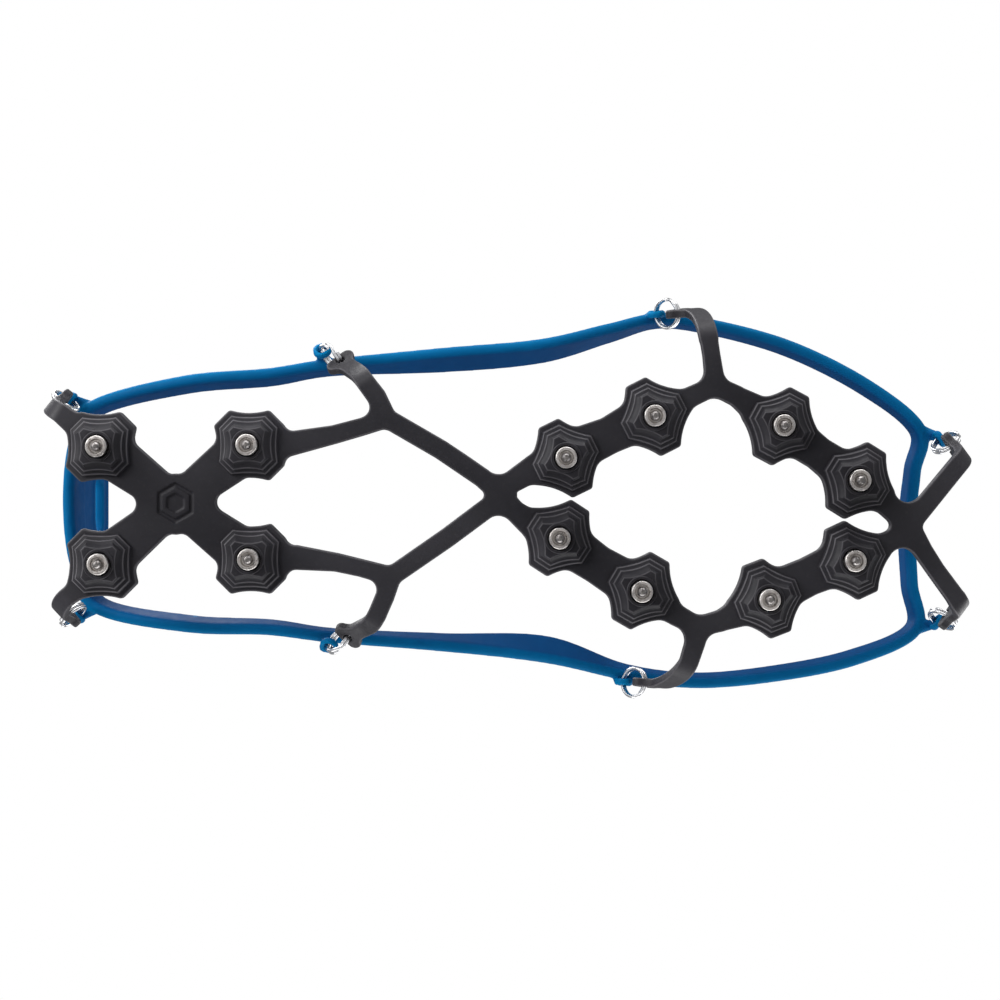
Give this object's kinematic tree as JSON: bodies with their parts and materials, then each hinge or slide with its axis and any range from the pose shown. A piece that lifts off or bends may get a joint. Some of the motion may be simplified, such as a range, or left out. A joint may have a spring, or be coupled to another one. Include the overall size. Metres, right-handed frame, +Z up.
{
  "type": "shoe ice cleats",
  "caption": "Stretch-on ice cleats for a right shoe: a moulded rubber sole web with carbide studs hangs on steel link rings from an elastic harness.",
  "frame": {"origin": "middle of the whole cleat in plan, on the plane of the stud tips", "axes": "+X towards the toe, +Y towards the inner side of the right foot, +Z up towards the shoe"},
  "size_m": [0.2986, 0.131, 0.086],
  "materials": {
    "web_rubber": "satin moulded rubber",
    "harness_rubber": "satin stretch rubber",
    "stud_metal": "turned",
    "carbide": "ground",
    "ring_steel": "polished wire"
  },
  "bodies": {
    "sole": {"traction_matrix": "web_rubber", "harness": "harness_rubber", "stud_body_heel_rear_outer": "stud_metal", "stud_body_heel_rear_inner": "stud_metal", "stud_body_heel_front_outer": "stud_metal", "stud_body_heel_front_inner": "stud_metal", "stud_body_ball_rear_outer": "stud_metal", "stud_body_ball_rear_inner": "stud_metal", "stud_body_ball_front_outer": "stud_metal", "stud_body_ball_front_inner": "stud_metal", "stud_body_toe_rear_outer": "stud_metal", "stud_body_toe_rear_inner": "stud_metal", "stud_body_toe_front_outer": "stud_metal", "stud_body_toe_front_inner": "stud_metal", "carbide_pin_heel_rear_outer": "carbide", "carbide_pin_heel_rear_inner": "carbide", "carbide_pin_heel_front_outer": "carbide", "carbide_pin_heel_front_inner": "carbide", "carbide_pin_ball_rear_outer": "carbide", "carbide_pin_ball_rear_inner": "carbide", "carbide_pin_ball_front_outer": "carbide", "carbide_pin_ball_front_inner": "carbide", "carbide_pin_toe_rear_outer": "carbide", "carbide_pin_toe_rear_inner": "carbide", "carbide_pin_toe_front_outer": "carbide", "carbide_pin_toe_front_inner": "carbide"},
    "ring_heel_outer": {"link_ring_heel_outer": "ring_steel"},
    "ring_heel_inner": {"link_ring_heel_inner": "ring_steel"},
    "ring_arch_outer": {"link_ring_arch_outer": "ring_steel"},
    "ring_arch_inner": {"link_ring_arch_inner": "ring_steel"},
    "ring_ball_outer": {"link_ring_ball_outer": "ring_steel"},
    "ring_ball_inner": {"link_ring_ball_inner": "ring_steel"},
    "ring_toe_outer": {"link_ring_toe_outer": "ring_steel"},
    "ring_toe_inner": {"link_ring_toe_inner": "ring_steel"}
  },
  "joints": [
    {"name": "ring_heel_outer_spin", "type": "hinge", "parent": "sole", "child": "ring_heel_outer", "pos_m": [-0.14472, -0.0317, 0.03154], "axis": [-0.6284, 0.7635, 0.1489], "continuous": true},
    {"name": "ring_heel_inner_spin", "type": "hinge", "parent": "sole", "child": "ring_heel_inner", "pos_m": [-0.14237, 0.0383, 0.03154], "axis": [0.6856, 0.7136, -0.1442], "continuous": true},
    {"name": "ring_arch_outer_spin", "type": "hinge", "parent": "sole", "child": "ring_arch_outer", "pos_m": [-0.05623, -0.04557, 0.02154], "axis": [-0.6946, 0.6052, -0.3889], "continuous": true},
    {"name": "ring_arch_inner_spin", "type": "hinge", "parent": "sole", "child": "ring_arch_inner", "pos_m": [-0.05389, 0.04583, 0.02152], "axis": [0.6512, 0.6367, 0.4131], "continuous": true},
    {"name": "ring_ball_outer_spin", "type": "hinge", "parent": "sole", "child": "ring_ball_outer", "pos_m": [0.05278, -0.06043, 0.03027], "axis": [-0.7075, 0.1724, -0.6854], "continuous": true},
    {"name": "ring_ball_inner_spin", "type": "hinge", "parent": "sole", "child": "ring_ball_inner", "pos_m": [0.04197, 0.06043, 0.03027], "axis": [0.7075, 0.1724, 0.6854], "continuous": true},
    {"name": "ring_toe_outer_spin", "type": "hinge", "parent": "sole", "child": "ring_toe_outer", "pos_m": [0.14451, -0.01828, 0.03133], "axis": [-0.5625, -0.7574, -0.3315], "continuous": true},
    {"name": "ring_toe_inner_spin", "type": "hinge", "parent": "sole", "child": "ring_toe_inner", "pos_m": [0.14351, 0.03968, 0.03133], "axis": [0.5625, -0.7574, 0.3315], "continuous": true}
  ]
}
